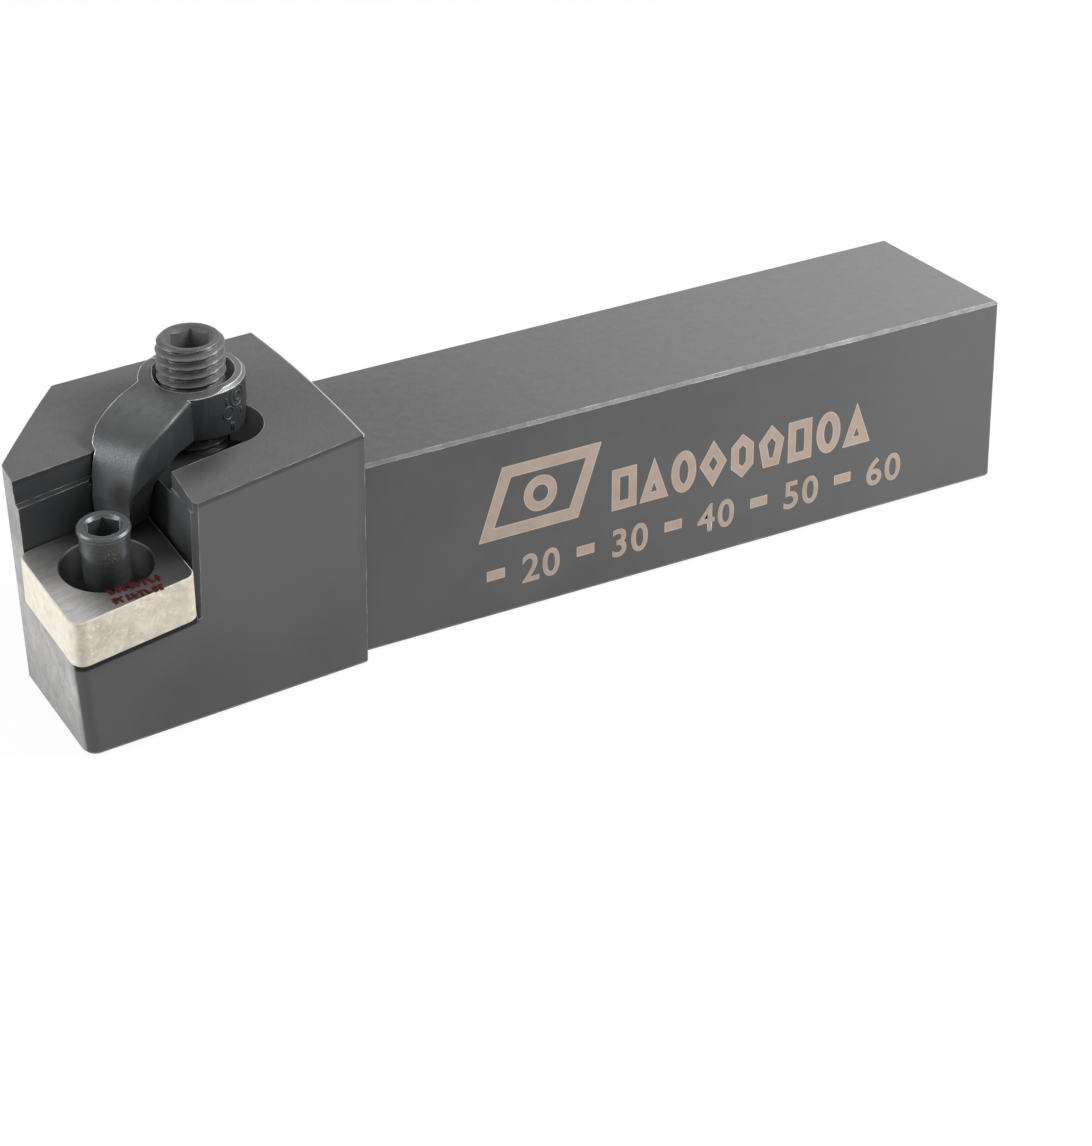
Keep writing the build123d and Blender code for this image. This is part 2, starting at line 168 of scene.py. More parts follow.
# ------------------------------------------------------------------ node helpers
class Nodes:
    """A material's node tree, with one short method for each kind of node."""

    def __init__(self, name):
        self.material = bpy.data.materials.new(name)
        self.material.use_nodes = True
        self.tree = self.material.node_tree
        self.shader = self.tree.nodes["Principled BSDF"]
        self.coordinates = self.tree.nodes.new("ShaderNodeTexCoord")

    def new(self, kind, **values):
        node = self.tree.nodes.new(kind)
        for key, value in values.items():
            setattr(node, key, value)
        return node

    def link(self, source, target):
        self.tree.links.new(source, target)

    def feed(self, socket, value):
        if isinstance(value, bpy.types.NodeSocket):
            self.link(value, socket)
        else:
            socket.default_value = value

    def place(self, scale=(1, 1, 1), turn=(0, 0, 0)):
        """Object coordinates in millimetres, turned and scaled."""
        turned = self.new("ShaderNodeMapping")
        turned.inputs["Scale"].default_value = (1000, 1000, 1000)
        turned.inputs["Rotation"].default_value = turn
        self.link(self.coordinates.outputs["Object"], turned.inputs["Vector"])
        scaled = self.new("ShaderNodeMapping")
        scaled.inputs["Scale"].default_value = scale
        self.link(turned.outputs["Vector"], scaled.inputs["Vector"])
        return scaled.outputs["Vector"]

    def split(self, vector):
        node = self.new("ShaderNodeSeparateXYZ")
        self.link(vector, node.inputs[0])
        return node.outputs["X"], node.outputs["Y"], node.outputs["Z"]

    def facing(self, direction):
        """Cosine between the surface's own normal and a fixed direction on the object."""
        node = self.new("ShaderNodeVectorMath", operation="DOT_PRODUCT")
        self.link(self.coordinates.outputs["Normal"], node.inputs[0])
        node.inputs[1].default_value = direction
        return node.outputs["Value"]

    def along(self, direction, origin=(0, 0, 0)):
        """Distance in millimetres along a direction from a point."""
        moved = self.new("ShaderNodeVectorMath", operation="SUBTRACT")
        self.link(self.place(), moved.inputs[0])
        moved.inputs[1].default_value = origin
        node = self.new("ShaderNodeVectorMath", operation="DOT_PRODUCT")
        self.link(moved.outputs["Vector"], node.inputs[0])
        node.inputs[1].default_value = direction
        return node.outputs["Value"]

    def off_axis(self, direction, origin):
        """Distance in millimetres from the line through a point along a unit direction."""
        moved = self.new("ShaderNodeVectorMath", operation="SUBTRACT")
        self.link(self.place(), moved.inputs[0])
        moved.inputs[1].default_value = origin
        crossed = self.new("ShaderNodeVectorMath", operation="CROSS_PRODUCT")
        self.link(moved.outputs["Vector"], crossed.inputs[0])
        crossed.inputs[1].default_value = direction
        length = self.new("ShaderNodeVectorMath", operation="LENGTH")
        self.link(crossed.outputs["Vector"], length.inputs[0])
        return length.outputs["Value"]

    def distance(self, point):
        node = self.new("ShaderNodeVectorMath", operation="DISTANCE")
        self.link(self.place(), node.inputs[0])
        node.inputs[1].default_value = point
        return node.outputs["Value"]

    def noise(self, where, scale, detail=3.0, roughness=0.55, distortion=0.0):
        node = self.new("ShaderNodeTexNoise")
        self.link(where, node.inputs["Vector"])
        node.inputs["Scale"].default_value = scale
        node.inputs["Detail"].default_value = detail
        node.inputs["Roughness"].default_value = roughness
        node.inputs["Distortion"].default_value = distortion
        return node.outputs["Fac"]

    def maths(self, operation, a, b=0.0):
        node = self.new("ShaderNodeMath", operation=operation)
        self.feed(node.inputs[0], a)
        self.feed(node.inputs[1], b)
        return node.outputs[0]

    def times(self, *values):
        result = values[0]
        for value in values[1:]:
            result = self.maths("MULTIPLY", result, value)
        return result

    def span(self, value, low, high, to_low=0.0, to_high=1.0):
        """Runs from to_low to to_high while value runs from low to high, and stops there."""
        node = self.new("ShaderNodeMapRange")
        self.feed(node.inputs["Value"], value)
        node.inputs["From Min"].default_value = low
        node.inputs["From Max"].default_value = high
        node.inputs["To Min"].default_value = to_low
        node.inputs["To Max"].default_value = to_high
        return node.outputs["Result"]

    def mix(self, factor, a, b):
        """Colour a where factor is 0, colour b where it is 1."""
        node = self.new("ShaderNodeMix", data_type="RGBA")
        self.feed(node.inputs["Factor"], factor)
        self.feed(node.inputs[6], a)
        self.feed(node.inputs[7], b)
        return node.outputs[2]

    def edge_wear(self, radius, low=0.02, high=0.12, upward=-2.0):
        """Rises from 0 to 1 where the surface turns sharply within a radius in millimetres, marking
        worn edges and painted highlights.

        Edges whose rounded normal points lower than upward are left out.
        """
        bevel = self.new("ShaderNodeBevel", samples=6)
        bevel.inputs["Radius"].default_value = radius * MM
        geometry = self.new("ShaderNodeNewGeometry")
        dot = self.new("ShaderNodeVectorMath", operation="DOT_PRODUCT")
        self.link(bevel.outputs["Normal"], dot.inputs[0])
        self.link(geometry.outputs["Normal"], dot.inputs[1])
        turned = self.span(self.maths("SUBTRACT", 1.0, dot.outputs["Value"]), low, high)
        lift = self.split(bevel.outputs["Normal"])[2]
        return self.times(turned, self.span(lift, upward, upward + 0.2))

    def bump(self, height, distance_mm):
        node = self.new("ShaderNodeBump")
        self.feed(node.inputs["Height"], height)
        node.inputs["Distance"].default_value = distance_mm * MM
        node.inputs["Strength"].default_value = 1.0
        return node.outputs["Normal"]

    def finish(self, color, roughness, metallic=0.0, normal=None, specular=0.5):
        self.feed(self.shader.inputs["Base Color"], color)
        self.feed(self.shader.inputs["Roughness"], roughness)
        self.feed(self.shader.inputs["Metallic"], metallic)
        self.shader.inputs["Specular IOR Level"].default_value = specular
        if normal is not None:
            self.link(normal, self.shader.inputs["Normal"])
        return self.material


def grey(level, warmth=0.0):
    """Linear colour: red above and blue below the level where warmth is positive."""
    return (level * (1 + warmth), level, level * (1 - warmth), 1.0)


def seat_edge():
    """Unit vector in the seat's plane, along the shim's near edge."""
    turn = math.radians(SEAT_EDGE_TURN)
    edge = Vector((math.cos(turn), math.sin(turn), 0))
    edge.z = -edge.dot(SEAT_NORMAL) / SEAT_NORMAL.z
    return edge.normalized()


def turned_place(point, degrees, scale):
    """A point in millimetres, turned about Z and scaled as Nodes.place does."""
    turned = Matrix.Rotation(math.radians(degrees), 3, "Z") @ point
    return Vector([a * b for a, b in zip(turned, scale)])


# ------------------------------------------------------------------ materials
def holder_steel():
    """Black oxide over ground steel: painted shade in the pocket and under the shim, painted light
    towards the shank's rear, paler on the front end face.
    """
    n = Nodes("holder_black_oxide")
    where = n.place()
    x, y, z = n.split(where)
    cloud = n.noise(where, 0.07, 4)
    mottle = n.noise(where, 0.9, 4, 0.65)
    grain = n.noise(where, 7.0, 2)
    tone = n.mix(n.span(cloud, 0.3, 0.7), grey(0.056, -0.01), grey(0.07))
    tone = n.mix(n.span(mottle, 0.35, 0.75, 0.0, 0.3), tone, grey(0.082, 0.005))
    # Painted light: the faces grow paler towards the shank's rear, and the head's near face paler
    # higher up.
    tone = n.mix(n.span(x, 25.0, 72.0, 0.0, 0.5), tone, grey(0.105))
    tone = n.mix(n.times(n.span(x, 0.0, -1.0), n.span(z, 4.0, 15.0, 0.0, 0.5)), tone, grey(0.095))

    # Upper faces are ground, with fine lines across the shank and dark specks.
    from_crown = n.off_axis(CROWN_AXIS, CROWN_MIDDLE)
    on_crown = n.span(from_crown, CROWN_RADIUS - 0.4, CROWN_RADIUS - 0.1)
    outside = n.maths("MAXIMUM", on_crown, n.span(x, 0.0, 0.2))
    facing_up = n.span(n.facing((0, 0, 1)), 0.75, 0.95)
    upper = n.times(facing_up, outside)
    below_crown = n.span(from_crown, CROWN_RADIUS - 0.1, CROWN_RADIUS - 0.4)
    ledge = n.times(facing_up, below_crown, n.span(x, 0.0, -0.2))
    lines = n.noise(n.place((3.2, 0.5, 1.0), (0, 0, math.radians(24))), 2.2, 3, 0.6)
    specks = n.noise(n.place((0.7, 1.6, 1.0)), 3.6, 3, 0.7)
    upper_tone = n.mix(n.span(lines, 0.25, 0.75), grey(0.082), grey(0.104))
    # Painted light: the upper faces grow paler towards the shank's rear.
    upper_tone = n.mix(n.span(x, 5.0, 72.0, -0.1, 0.7), upper_tone, grey(0.18))
    upper_tone = n.mix(n.span(specks, 0.58, 0.72, 0.0, 0.45), upper_tone, grey(0.06))
    # Painted shadow: the clamp's soft shadow darkens the head's top beside the slot.
    clamp_shadow = n.new("ShaderNodeVectorMath", operation="DISTANCE")
    n.link(n.place((0.5, 1.0, 1.0), (0, 0, math.radians(-CLAMP_SHADOW_HEADING))), clamp_shadow.inputs[0])
    clamp_shadow.inputs[1].default_value = turned_place(CLAMP_SHADOW_PLACE, -CLAMP_SHADOW_HEADING, (0.5, 1.0, 1.0))
    upper_tone = n.mix(n.span(clamp_shadow.outputs["Value"], 0.4, 2.6, 0.8, 0.0), upper_tone, grey(0.03))
    tone = n.mix(upper, tone, upper_tone)

    # The front end face is paler and blotched.
    front = n.times(n.span(n.facing((-1, 0, 0)), 0.85, 0.96), n.span(x, -24.0, -25.0))
    blotch = n.noise(where, 0.35, 5, 0.7, 0.6)
    front_tone = n.mix(n.span(blotch, 0.3, 0.7), grey(0.22, 0.01), grey(0.4, 0.015))
    spots = n.noise(where, 1.3, 4, 0.7)
    front_tone = n.mix(n.span(spots, 0.5, 0.7, 0.0, 0.5), front_tone, grey(0.17, 0.01))
    front_tone = n.mix(n.span(z, 6.0, 1.0, 0.0, 0.4), front_tone, grey(0.1, 0.01))
    front_tone = n.mix(n.span(z, 13.0, 18.0, 0.0, 0.4), front_tone, grey(0.1, 0.01))
    tone = n.mix(front, tone, front_tone)

    # Painted shade makes the pocket's walls blackest, and painted light makes the slot's sides paler,
    # so they show in its shade.
    inner_side = n.times(n.span(n.facing((0, -1, 0)), 0.5, 0.8), n.span(y, -9.9, -9.6))
    inner_end = n.times(n.span(n.facing((-1, 0, 0)), 0.4, 0.7), n.span(x, -25.0, -24.0))
    inner_end = n.times(inner_end, n.span(y, 0.0, -1.0))
    in_pocket = n.span(x, POCKET_REAR_X + 0.5, POCKET_REAR_X - 0.5)
    pocket = n.times(n.maths("MAXIMUM", inner_side, inner_end), in_pocket)
    tone = n.mix(pocket, tone, n.mix(inner_end, grey(0.035, -0.05), grey(0.075, -0.04)))
    # Painted shade darkens the upward ledges and floors below the crown.
    tone = n.mix(ledge, tone, grey(0.045, -0.04))
    behind_pocket = n.span(x, POCKET_REAR_X - 0.5, POCKET_REAR_X + 0.5)
    slot_side = n.times(behind_pocket, n.span(x, -1.0, -1.5))
    slot_side = n.times(slot_side, n.span(n.facing((0, 0, 1)), 0.6, 0.3))
    slot_side = n.times(slot_side, n.span(y, -9.0, -8.5), n.span(y, 6.0, 5.5))
    tone = n.mix(slot_side, tone, grey(0.26, -0.02))

    # Painted shade draws a dark line under the near face's upper edge.
    shank_rim = n.times(n.span(x, 0.0, 0.2), n.span(z, 18.6, 18.8))
    under_crown = n.span(from_crown, CROWN_RADIUS - 0.55, CROWN_RADIUS - 0.3)
    head_rim = n.times(n.span(x, 0.2, 0.0), under_crown)
    rim = n.maths("MAXIMUM", shank_rim, head_rim)
    rim = n.times(rim, n.span(n.facing((0, -1, 0)), 0.5, 0.9))
    tone = n.mix(n.times(rim, 0.6), tone, grey(0.02))

    # A painted shadow of the shim lies along its lower edge.
    under = n.along(SEAT_NORMAL, SEAT_NOSE)
    shim_shadow = n.times(n.span(under, -6.13, -5.95), n.span(under, -4.55, -4.6), n.span(x, -17.9, -18.4))
    shim_shadow = n.times(shim_shadow, n.span(n.facing((-1, 0, 0)), 0.9, 0.8))
    tone = n.mix(n.times(shim_shadow, n.span(y, -9.0, -10.0)), tone, grey(0.006))

    # Edges are worn and painted bright as highlights in patches, and the head's upper rear edge carries
    # a painted highlight all along.
    patches = n.noise(where, 0.5, 3)
    wear_and_highlight = n.times(n.edge_wear(0.16), n.span(patches, 0.4, 0.65, 0.1, 0.8))
    tone = n.mix(wear_and_highlight, tone, grey(0.42, 0.02))
    rear_edge_highlight = n.times(n.span(x, -0.15, -0.09), n.span(x, 0.01, 0.0))
    rear_edge_highlight = n.times(rear_edge_highlight, n.span(from_crown, CROWN_RADIUS - 0.3, CROWN_RADIUS - 0.2))
    tone = n.mix(n.times(rear_edge_highlight, n.span(y, 8.0, -2.0, 0.3, 1.0)), tone, grey(0.42))
    rough = n.span(mottle, 0.3, 0.7, 0.42, 0.56)
    height = n.maths("ADD", n.times(lines, upper, 0.5), n.times(grain, 0.35))
    return n.finish(tone, rough, 0.35, n.bump(height, 0.009), 0.36)


def clamp_steel(name, bright_edges):
    """Forged clamp: nearly black sides; its satin back and its nose painted paler as lit, painted shade
    on faces turned up and left and in a hollow, and bright edges, worn and painted as highlights.
    """
    n = Nodes(name)
    where = n.place()
    mottle = n.noise(where, 0.8, 4, 0.6)
    grain = n.noise(where, 5.0, 3)
    # Painted light: faces turned up, on the clamp's back, and faces towards its nose are paler.
    back = n.span(n.facing((-0.1, -0.1, 0.99)), 0.35, 0.95)
    lit_nose = n.span(n.facing((-0.9, -0.43, 0.1)), 0.75, 0.95)
    tone = n.mix(n.span(mottle, 0.3, 0.7), grey(0.028, -0.05), grey(0.038, -0.04))
    lit_back_tone = n.mix(n.span(mottle, 0.3, 0.7), grey(0.068, -0.02), grey(0.1, -0.01))
    tone = n.mix(back, tone, lit_back_tone)
    tone = n.mix(lit_nose, tone, grey(0.075, -0.05))
    # Painted shade darkens faces turned up and to the left.
    leftward = n.span(n.facing((-0.7, -0.3, 0.65)), 0.85, 0.97, 0.0, 0.6)
    tone = n.mix(leftward, tone, grey(0.04, -0.03))
    streak = n.noise(n.place((1.6, 1.6, 0.25)), 1.6, 3)
    tone = n.mix(n.span(streak, 0.55, 0.75, 0.0, 0.35), tone, grey(0.06, -0.04))
    around = n.off_axis(SCREW_AXIS, SCREW_FOOT)
    ring = n.times(n.span(around, 3.8, 3.95), n.span(n.along(SCREW_AXIS, SCREW_FOOT), 2.9, 3.3))
    tone = n.mix(n.times(ring, n.span(n.facing(SCREW_AXIS), 0.5, 0.9)), tone, grey(0.14))
    # Painted shade darkens a hollow on the clamp.
    hollow_shade = n.span(n.distance((-21.75, -6.1, 20.3)), 0.7, 1.9, 0.85, 0.0)
    tone = n.mix(hollow_shade, tone, grey(0.015))
    # Upward edges are worn and painted bright as highlights, in patches.
    if bright_edges:
        patches = n.noise(where, 0.5, 3)
        wear_and_highlight = n.times(n.edge_wear(0.15, 0.01, 0.08, 0.15), n.span(patches, 0.4, 0.6, 0.5, 1.0))
        tone = n.mix(wear_and_highlight, tone, grey(0.85))
    height = n.maths("ADD", n.times(grain, 0.6), n.times(streak, 0.4))
    return n.finish(tone, n.span(grain, 0.3, 0.7, 0.36, 0.5), 0.4, n.bump(height, 0.02), 0.32)


def screw_steel():
    """Black screw with painted highlights on its crests, fading lower down as painted shade, and
    painted light on its upper faces and in its socket.
    """
    n = Nodes("screw_black_oxide")
    where = n.place()
    grain = n.noise(where, 4.0, 3)
    tone = n.mix(n.span(grain, 0.3, 0.7), grey(0.024, -0.01), grey(0.042, -0.01))
    patches = n.noise(where, 0.9, 3)
    wear_and_highlight = n.times(n.edge_wear(0.12), n.span(patches, 0.4, 0.65, 0.1, 0.75))
    tone = n.mix(wear_and_highlight, tone, grey(0.4))
    radius = n.off_axis(SCREW_AXIS, SCREW_FOOT)
    height = n.along(SCREW_AXIS, SCREW_FOOT)
    # Painted highlights on the crests, fading lower down as painted shade.
    crest = n.times(n.span(radius, 2.95, 3.12), n.span(height, 3.6, 5.8, 0.15, 0.9))
    tone = n.mix(crest, tone, grey(0.11))
    # Painted light in the hexagon socket.
    socket = n.times(n.span(radius, 2.1, 2.0), n.span(n.facing(SCREW_AXIS), 0.6, 0.4))
    tone = n.mix(socket, tone, grey(0.16))
    # Painted light on faces turned up the axis.
    upper = n.span(n.facing(SCREW_AXIS), 0.5, 0.95, 0.0, 0.6)
    tone = n.mix(upper, tone, grey(0.12))
    return n.finish(tone, n.span(grain, 0.3, 0.7, 0.36, 0.48), 0.4, n.bump(grain, 0.015))


def pin_steel():
    """Bluish turned pin with fine rings and a few brown specks, painted light in its socket, and edges
    worn and painted bright as highlights.
    """
    n = Nodes("pin_blued_steel")
    where = n.place()
    height = n.along(SEAT_NORMAL, PIN_CENTRE)
    stack = n.new("ShaderNodeCombineXYZ")
    n.link(height, stack.inputs["Z"])
    rings = n.noise(stack.outputs[0], 5.5, 2)
    grain = n.noise(where, 5.0, 3)
    tone = n.mix(n.span(rings, 0.35, 0.65), grey(0.04, -0.05), grey(0.066, -0.04))
    tone = n.mix(n.span(grain, 0.35, 0.75, 0.0, 0.3), tone, grey(0.09, -0.03))
    specks = n.noise(where, 4.5, 3, 0.75)
    near = n.span(n.distance((-25.5, -11.5, 17.6)), 0.5, 1.0, 1.0, 0.0)
    rust = n.times(near, n.span(specks, 0.55, 0.6))
    # Painted light in the pin's socket.
    inside = n.span(n.off_axis(SEAT_NORMAL, PIN_CENTRE), 1.75, 1.65)
    socket = n.times(inside, n.span(n.facing(SEAT_NORMAL), 0.6, 0.4))
    tone = n.mix(socket, tone, grey(0.08, -0.03))
    tone = n.mix(rust, tone, (0.2, 0.155, 0.09, 1))
    wear_and_highlight = n.times(n.edge_wear(0.1), n.span(grain, 0.35, 0.65, 0.2, 0.9))
    tone = n.mix(wear_and_highlight, tone, grey(0.36, -0.03))
    relief = n.maths("ADD", n.times(rings, 0.7), n.times(grain, 0.4))
    return n.finish(tone, n.span(grain, 0.3, 0.7, 0.3, 0.42), 0.5, n.bump(relief, 0.015))


def shim_carbide():
    """Cream, blotched sides under a ground metallic top with fine streaks; the top painted darker away
    from the nose as shade, the left-facing sides painted lighter, the bore painted dark as shade.
    """
    n = Nodes("shim_carbide")
    where = n.place()
    turn = (0, 0, math.radians(-SEAT_EDGE_TURN))
    streaks = n.noise(n.place((0.12, 5.0, 5.0), turn), 2.2, 4, 0.65)
    broad = n.noise(n.place((0.1, 0.9, 0.9), turn), 1.6, 3)
    top = n.span(n.facing(SEAT_NORMAL), 0.9, 0.97)
    top_tone = n.mix(n.span(streaks, 0.3, 0.7), grey(0.42, 0.015), grey(0.66, 0.03))
    top_tone = n.mix(n.span(broad, 0.4, 0.7, 0.0, 0.3), top_tone, grey(0.26))
    # Painted shade: the top darkens away from the nose.
    from_nose = n.along(seat_edge(), SEAT_NOSE)
    top_tone = n.mix(n.span(from_nose, 1.5, 7.0, 0.0, 0.9), top_tone, grey(0.075))
    blotch = n.noise(where, 0.55, 5, 0.65, 0.5)
    fine = n.noise(where, 2.2, 4, 0.7)
    side_tone = n.mix(n.span(blotch, 0.35, 0.65), (0.37, 0.33, 0.27, 1), (0.5, 0.45, 0.37, 1))
    side_tone = n.mix(n.span(fine, 0.55, 0.72, 0.0, 0.7), side_tone, (0.64, 0.6, 0.52, 1))
    side_tone = n.mix(n.span(fine, 0.46, 0.3, 0.0, 0.5), side_tone, (0.3, 0.24, 0.19, 1))
    # Painted light on the sides turned to the left.
    leftward = n.span(n.facing((-1.0, 0.1, -0.1)), 0.5, 0.9, 0.0, 0.45)
    side_tone = n.mix(leftward, side_tone, (0.74, 0.69, 0.6, 1))
    cool = n.span(n.noise(where, 0.8, 3), 0.55, 0.68, 0.0, 0.45)
    side_tone = n.mix(cool, side_tone, (0.35, 0.35, 0.34, 1))
    # Painted shade in the shim's bore.
    bore_shade = n.span(n.off_axis(SEAT_NORMAL, PIN_CENTRE), 4.6, 4.4)
    side_tone = n.mix(bore_shade, side_tone, grey(0.085))
    tone = n.mix(top, side_tone, top_tone)
    rough = n.mix(top, grey(0.6), grey(0.36))
    relief = n.maths("ADD", n.times(streaks, top), n.times(fine, 0.6))
    return n.finish(tone, rough, n.times(top, 0.9), n.bump(relief, 0.012))


def etched_mark(name, level):
    """Laser-marked metal: coppery beige, with the beam's fine hatch."""
    n = Nodes(name)
    where = n.place()
    hatch = n.noise(n.place((9.0, 1.0, 1.0), (0, math.radians(40), 0)), 1.4, 2)
    cloud = n.noise(where, 0.6, 3)
    copper = (level, 0.76 * level, 0.6 * level, 1)
    beige = (1.12 * level, 0.88 * level, 0.72 * level, 1)
    tone = n.mix(n.span(cloud, 0.3, 0.7), copper, beige)
    tone = n.mix(n.span(hatch, 0.5, 0.8, 0.0, 0.25), tone, grey(0.8 * level, 0.05))
    return n.finish(tone, 0.5, 0.2, n.bump(hatch, 0.004))


def red_ink():
    n = Nodes("red_ink")
    blot = n.noise(n.place(), 2.5, 3)
    tone = n.mix(n.span(blot, 0.35, 0.65), (0.03, 0.005, 0.006, 1), (0.055, 0.012, 0.013, 1))
    return n.finish(tone, 0.6, 0.0, n.bump(blot, 0.004), 0.06)


# ------------------------------------------------------------------ pieces
def add_piece(name, mesh, material, body):
    piece = bpy.data.objects.new(name, mesh)
    bpy.context.scene.collection.objects.link(piece)
    mesh.materials.append(material)
    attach(piece, body)
    return piece


def hexagon_radius(flats, angle):
    """Distance from the middle of a hexagon to its side, at an angle from a corner."""
    sector = math.radians(60)
    return flats / 2 / math.cos(angle % sector - sector / 2)


def thread_radius(height, angle):
    """Radius of the right-hand thread's surface at a height and an angle."""
    turns = (height - FIRST_CREST_HEIGHT) / THREAD_PITCH - (angle - FIRST_CREST_ANGLE) / math.tau
    from_crest = abs((turns + 0.5) % 1.0 - 0.5) * 2
    sunk = min(max((from_crest - CREST_SHARE) / FLANK_SHARE, 0.0), 1.0)
    radius = CREST_RADIUS - THREAD_DEPTH * sunk
    top_cone = SCREW_TOP_RADIUS + (SCREW_TOP - height) * SCREW_TOP_SLOPE
    bottom_cone = SCREW_TOP_RADIUS + (height - SCREW_BOTTOM) * SCREW_TOP_SLOPE
    return min(radius, top_cone, bottom_cone)


def threaded_screw():
    """Closed mesh of rings: up the thread, over the top face and down the hexagon socket."""
    x_axis = (Vector((1, 0, 0)) - SCREW_AXIS * SCREW_AXIS.x).normalized()
    y_axis = SCREW_AXIS.cross(x_axis)
    rings = []
    step = THREAD_PITCH / RINGS_PER_TURN
    count = int((SCREW_TOP - SCREW_BOTTOM) / step)
    angles = [math.tau * i / SCREW_SIDES for i in range(SCREW_SIDES)]
    for i in range(count + 1):
        height = SCREW_BOTTOM + (SCREW_TOP - SCREW_BOTTOM) * i / count
        rings.append([(thread_radius(height, a), height) for a in angles])
    rings.append([(SCREW_TOP_RADIUS - 0.1, SCREW_TOP + TOP_ROUNDING)] * SCREW_SIDES)
    rings.append([(SOCKET_MOUTH_RADIUS + 0.08, SCREW_TOP + TOP_ROUNDING)] * SCREW_SIDES)
    rings.append([(SOCKET_MOUTH_RADIUS, SCREW_TOP)] * SCREW_SIDES)
    flats = [hexagon_radius(SOCKET_FLATS, a) for a in angles]
    rings.append([(r, SCREW_TOP - (SOCKET_MOUTH_RADIUS - r) * SOCKET_MOUTH_SLOPE) for r in flats])
    bottom = SCREW_TOP - SOCKET_DEPTH
    rings.append([(r, bottom) for r in flats])

    mesh = bmesh.new()
    loops = []
    for ring in rings:
        loop = []
        for (radius, height), angle in zip(ring, angles):
            out = x_axis * math.cos(angle) + y_axis * math.sin(angle)
            loop.append(mesh.verts.new((SCREW_FOOT + out * radius + SCREW_AXIS * height) * MM))
        loops.append(loop)
    for lower, upper in zip(loops, loops[1:]):
        for i in range(SCREW_SIDES):
            j = (i + 1) % SCREW_SIDES
            mesh.faces.new((lower[i], lower[j], upper[j], upper[i]))
    drill_point = mesh.verts.new((SCREW_FOOT + SCREW_AXIS * (bottom - SOCKET_POINT)) * MM)
    foot = mesh.verts.new((SCREW_FOOT + SCREW_AXIS * SCREW_BOTTOM) * MM)
    for i in range(SCREW_SIDES):
        j = (i + 1) % SCREW_SIDES
        mesh.faces.new((loops[-1][i], loops[-1][j], drill_point))
        mesh.faces.new((loops[0][j], loops[0][i], foot))
    data = bpy.data.meshes.new("clamp_screw_threaded")
    mesh.to_mesh(data)
    mesh.free()
    data.shade_smooth()
    data.set_sharp_from_angle(angle=math.radians(32))
    return data


def plate(mesh, outline, place):
    """Flat face from an outline of points, each put in place by a function."""
    mesh.faces.new([mesh.verts.new(place(u, v) * MM) for u, v in outline])


def band(mesh, outer, inner, place):
    """Closed flat band between two outlines with the same number of points."""
    outer_verts = [mesh.verts.new(place(u, v) * MM) for u, v in outer]
    inner_verts = [mesh.verts.new(place(u, v) * MM) for u, v in inner]
    count = len(outer)
    for i in range(count):
        j = (i + 1) % count
        mesh.faces.new((outer_verts[i], outer_verts[j], inner_verts[j], inner_verts[i]))


def on_shank(lift):
    """Places a point (x, z) on the shank's near face, a little proud of it."""
    return lambda u, v: Vector((u, SHANK_NEAR_Y - lift, v))


def polygon(middle, radius, sides, turn=0.0, stretch=1.0):
    """Corners of a regular polygon, its first corner turned by degrees, its width stretched."""
    points = []
    for i in range(sides):
        angle = math.radians(turn) + math.tau * i / sides
        x = middle[0] + radius * stretch * math.cos(angle)
        y = middle[1] + radius * math.sin(angle)
        points.append((x, y))
    return points


def finish_mesh(mesh, name):
    data = bpy.data.meshes.new(name)
    bmesh.ops.recalc_face_normals(mesh, faces=mesh.faces)
    mesh.to_mesh(data)
    mesh.free()
    return data


def rhombus(middle, half_width, half_height, lean):
    """Rhombic insert outline: two sides level, the others leaning."""
    x, y = middle
    return [
        (x - half_width - lean, y - half_height),
        (x + half_width - lean, y - half_height),
        (x + half_width + lean, y + half_height),
        (x - half_width + lean, y + half_height),
    ]


def shape_chart():
    """Outer and inner outlines of plain insert shapes: a large rhombus with a hole, and a row."""
    middle = LARGE_SHAPE_MIDDLE
    shapes = [
        (rhombus(middle, 5.4, 3.55, 1.25), rhombus(middle, 4.25, 2.5, 0.95)),
        (polygon(middle, 1.75, CIRCLE_SIDES), polygon(middle, 0.95, CIRCLE_SIDES)),
    ]
    for i, (sides, turn, radius) in enumerate(SHAPE_ROW):
        height = TRIANGLE_HEIGHT if sides == 3 else SHAPE_ROW_HEIGHT
        middle = (SHAPE_ROW_START + SHAPE_ROW_STEP * i, height)
        outer = polygon(middle, radius, sides, turn, SHAPE_STRETCH)
        shapes.append((outer, outset(outer, -SHAPE_BAND)))
    return shapes


def outset(points, amount):
    """Moves a closed outline's points along their corners' bisectors."""
    moved = []
    count = len(points)
    for i in range(count):
        a = Vector(points[i - 1])
        b = Vector(points[i])
        c = Vector(points[(i + 1) % count])
        before = (b - a).normalized()
        after = (c - b).normalized()
        out = (Vector((before.y, -before.x)) + Vector((after.y, -after.x))).normalized()
        share = max(out.dot(Vector((before.y, -before.x))), 0.3)
        moved.append(tuple(b + out * amount / share))
    return moved


